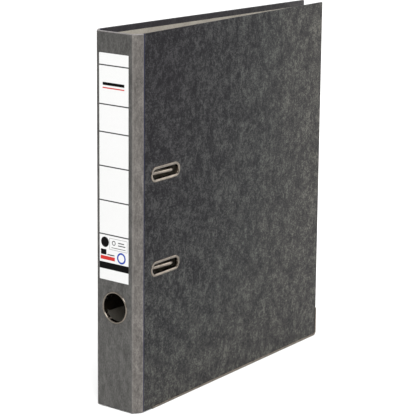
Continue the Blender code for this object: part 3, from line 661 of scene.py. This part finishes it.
def sweep(stations, papers, name):
    """Carry the board's section along stations of (outer place, inner place, distance unrolled)."""
    section = board_section(THICK)
    solid = bmesh.new()
    layer = solid.verts.layers.float_vector.new("unrolled")
    rings = []
    for outer, inner, along in stations:
        ring = []
        for into, up in section:
            place = outer.lerp(inner, into / THICK)
            vertex = solid.verts.new((place.x, place.y, up))
            vertex[layer] = (along, up, into)
            ring.append(vertex)
        rings.append(ring)
    lined = len(section) // 2 - 1
    for ring, following in zip(rings, rings[1:]):
        for i in range(len(section)):
            j = (i + 1) % len(section)
            face = solid.faces.new((ring[i], ring[j], following[j], following[i]))
            face.material_index = int(i == lined)
    solid.faces.new(rings[0])
    solid.faces.new(rings[-1])
    return finish_mesh(name, solid, papers)


def crease_stations(side):
    """From the spine's flat, down the slanted edge, to the end of the strip on a cover."""
    sign = -SIDES[side][2]
    outer = crease_line(side, 0, OUTER_FOLDS)
    inner = crease_line(side, THICK, INNER_FOLDS)
    stations = []
    along = PANEL_HALF
    last = outer[0]
    for place, inside in zip(outer, inner):
        along += (place - last).length
        stations.append((place, inside, sign * along))
        last = place
    return stations


def build_creases(papers):
    """The scored edges of the spine, from its flat on to each cover."""
    bodies = {"back": ("spine", "back_cover"), "front": ("spine", "front_cover")}
    for side, (spine, cover) in bodies.items():
        crease = sweep(crease_stations(side), papers, f"{side}_crease")
        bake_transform(crease)
        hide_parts(f"{side}_hinge_strip")


def build_spine(papers, lining):
    """The flat of the spine with its thumb hole, and its lining."""
    stations = []
    for x in (-PANEL_HALF, PANEL_HALF):
        stations.append((Vector((x, SPINE_Y)), Vector((x, SPINE_Y + THICK)), x))
    panel = sweep(stations, papers[:1], "spine_panel")
    low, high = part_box("thumb_ring")
    centre = ((low.x + high.x) / 2, (low.z + high.z) / 2)
    thumb = arc(centre, (high.x - low.x) / 2 - THUMB_RING_WALL, 0, 354, 59)
    inner = rounded_box(
        (-PANEL_HALF, SEAT + LINING_INSET), (PANEL_HALF, HEIGHT - LINING_INSET), (0, 0, 0, 0)
    )
    sheet = slab(inner, LINING, LINING * 0.4, 2)
    bmesh.ops.translate(sheet, vec=(THICK, 0, 0), verts=sheet.verts[:])
    sheet.transform(SPINE_SPACE)
    inside = finish_mesh("spine_inner_lining", sheet, [lining])
    panel.data.attributes.remove(panel.data.attributes["unrolled"])
    for piece in (panel, inside):
        hole(piece, thumb, SPINE_SPACE)
        mark_unrolled(piece, SPINE_SPACE, 1, 0)
    place_piece(panel, "spine", "spine_paper", "spine_board", "spine_covering")
    place_piece(inside, "spine", "lining_paper", "spine_lining")


def build_label():
    low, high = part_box("spine_label")
    outline = rounded_box((low.x, low.z), (high.x, high.z), (0.3 * MM,) * 4)
    sheet = slab(outline, LABEL_SHEET, 0.05 * MM, 2)
    bmesh.ops.translate(sheet, vec=(-LABEL_SHEET, 0, 0), verts=sheet.verts[:])
    sheet.transform(SPINE_SPACE)
    label = finish_mesh("spine_label_sheet", sheet, [label_paper(low, high)])
    place_piece(label, "spine", "label_paper", "spine_label")


# ---------------------------------------------------------------- metal and plastic nodes


def weld_group():
    """Geometry nodes that join a node's loose triangles and smooth its round surfaces."""
    group = bpy.data.node_groups.new("weld_and_smooth", "GeometryNodeTree")
    for way in ("INPUT", "OUTPUT"):
        group.interface.new_socket("Geometry", in_out=way, socket_type="NodeSocketGeometry")
    make = group.nodes.new
    source, result = make("NodeGroupInput"), make("NodeGroupOutput")
    weld = make("GeometryNodeMergeByDistance")
    weld.inputs["Distance"].default_value = 0.001 * MM
    unset = make("GeometryNodeRemoveAttribute")
    unset.inputs["Name"].default_value = "custom_normal"
    faces, edges = make("GeometryNodeSetShadeSmooth"), make("GeometryNodeSetShadeSmooth")
    edges.domain = "EDGE"
    edges.inputs["Shade Smooth"].default_value = False
    angle = make("GeometryNodeInputMeshEdgeAngle")
    steep = make("FunctionNodeCompare")
    steep.data_type = "FLOAT"
    steep.operation = "GREATER_THAN"
    steep.inputs[1].default_value = SMOOTH_BELOW
    group.links.new(angle.outputs["Unsigned Angle"], steep.inputs[0])
    group.links.new(steep.outputs["Result"], edges.inputs["Selection"])
    chain = (source, weld, unset, faces, edges, result)
    for before, after in zip(chain, chain[1:]):
        group.links.new(before.outputs[0], after.inputs[0])
    return group


def dress_nodes():
    """Give every CAD part that stays its material, smooth rounds and a small edge radius."""
    nickel = metal("nickel_plate", (0.19, 0.166, 0.140), 0.12, 0.26, 0.6)
    spring = metal("spring_steel", (0.25, 0.24, 0.23), 0.26, 0.42, 0.3)
    plastic = clip_plastic()
    slots = {part["node"]: part["material_slot"] for part in frame["record"]["subparts"]}
    finishes = {"nickel_steel": nickel, "spring_steel": spring, "clip_plastic": plastic}
    weld = weld_group()
    for name, part in frame["nodes"].items():
        finish = finishes.get(slots[name])
        if finish is None:
            continue
        part.data.materials.clear()
        part.data.materials.append(finish)
        part.modifiers.new("weld", "NODES").node_group = weld
        edges = part.modifiers.new("edges", "BEVEL")
        edges.width = METAL_EDGE
        edges.segments = 2
        edges.limit_method = "ANGLE"
        edges.angle_limit = math.radians(40)


# ---------------------------------------------------------------- stage, light and camera


def build_stage():
    """A pale floor, a studio with a bright ceiling and dim walls, and two softboxes."""
    solid = bmesh.new()
    bmesh.ops.create_grid(solid, x_segments=1, y_segments=1, size=30)
    shading = Shading("studio_floor")
    shading.set(Base_Color=(0.93, 0.93, 0.93, 1), Roughness=0.9, Specular_IOR_Level=0.0)
    floor = finish_mesh("studio_floor", solid, [shading.material])
    floor.location.z = CAD_BOX[0].z - FLOOR_GAP

    world = bpy.data.worlds.new("studio")
    world.use_nodes = True
    nodes, links = world.node_tree.nodes, world.node_tree.links
    sky = nodes.new("ShaderNodeTexCoord")
    height = nodes.new("ShaderNodeSeparateXYZ")
    ramp = nodes.new("ShaderNodeValToRGB")
    links.new(sky.outputs["Generated"], height.inputs["Vector"])
    links.new(height.outputs["Z"], ramp.inputs["Fac"])
    links.new(ramp.outputs["Color"], nodes["Background"].inputs["Color"])
    nodes["Background"].inputs["Strength"].default_value = 1.36
    elements = ramp.color_ramp.elements
    elements.new(0.15)
    for element, position, value in zip(elements, (0, 0.13, 0.4), (0.1, 0.25, 1)):
        element.position = position
        element.color = (value, value, value, 1)
    bpy.context.scene.world = world
    softbox("key", (0.95, -0.95, 1.45), (0, 0, 0.16), (0.9, 1.0), 22)
    softbox("sheen", (0.75, 0.95, 0.5), (0, 0.12, 0.17), (0.5, 0.8), 4)


def softbox(name, place, target, size, power):
    data = bpy.data.lights.new(name, "AREA")
    data.shape = "RECTANGLE"
    data.size, data.size_y = size
    data.energy = power
    light = bpy.data.objects.new(name, data)
    light.location = place
    light.rotation_euler = (Vector(target) - Vector(place)).to_track_quat("-Z", "Y").to_euler()
    bpy.context.scene.collection.objects.link(light)


# The camera stands well back, a little above the file's top, to the front right
CAMERA_AT = (1.0048, -1.2398, 0.5197)
CAMERA_YAW, CAMERA_PITCH, CAMERA_ROLL = (math.radians(angle) for angle in (39.05, 12.48, 0.66))
CAMERA_LENS = 161.15
CAMERA_SHIFT = (-0.0375, -0.0481)


def build_camera():
    forward = Vector(
        (
            -math.sin(CAMERA_YAW) * math.cos(CAMERA_PITCH),
            math.cos(CAMERA_YAW) * math.cos(CAMERA_PITCH),
            -math.sin(CAMERA_PITCH),
        )
    )
    right = forward.cross(Vector((0, 0, 1))).normalized()
    up = right.cross(forward)
    tilted = right * math.cos(CAMERA_ROLL) + up * math.sin(CAMERA_ROLL)
    up = up * math.cos(CAMERA_ROLL) - right * math.sin(CAMERA_ROLL)
    data = bpy.data.cameras.new("camera")
    data.lens = CAMERA_LENS
    data.shift_x, data.shift_y = CAMERA_SHIFT
    camera = bpy.data.objects.new("camera", data)
    turned = Matrix((tilted, up, -forward)).transposed().to_4x4()
    camera.matrix_world = Matrix.Translation(CAMERA_AT) @ turned
    bpy.context.scene.collection.objects.link(camera)
    bpy.context.scene.camera = camera
    bpy.context.scene.view_settings.view_transform = "Standard"


def main():
    build_camera()
    paper, strip, lining = marbled_paper(), spine_paper(), lining_paper()
    build_cover("back", rivet_outlines(), paper, lining)
    build_cover("front", slot_outlines(), paper, lining)
    build_spine([strip, lining], lining)
    build_creases([strip, lining])
    build_label()
    dress_nodes()
    build_stage()


main()
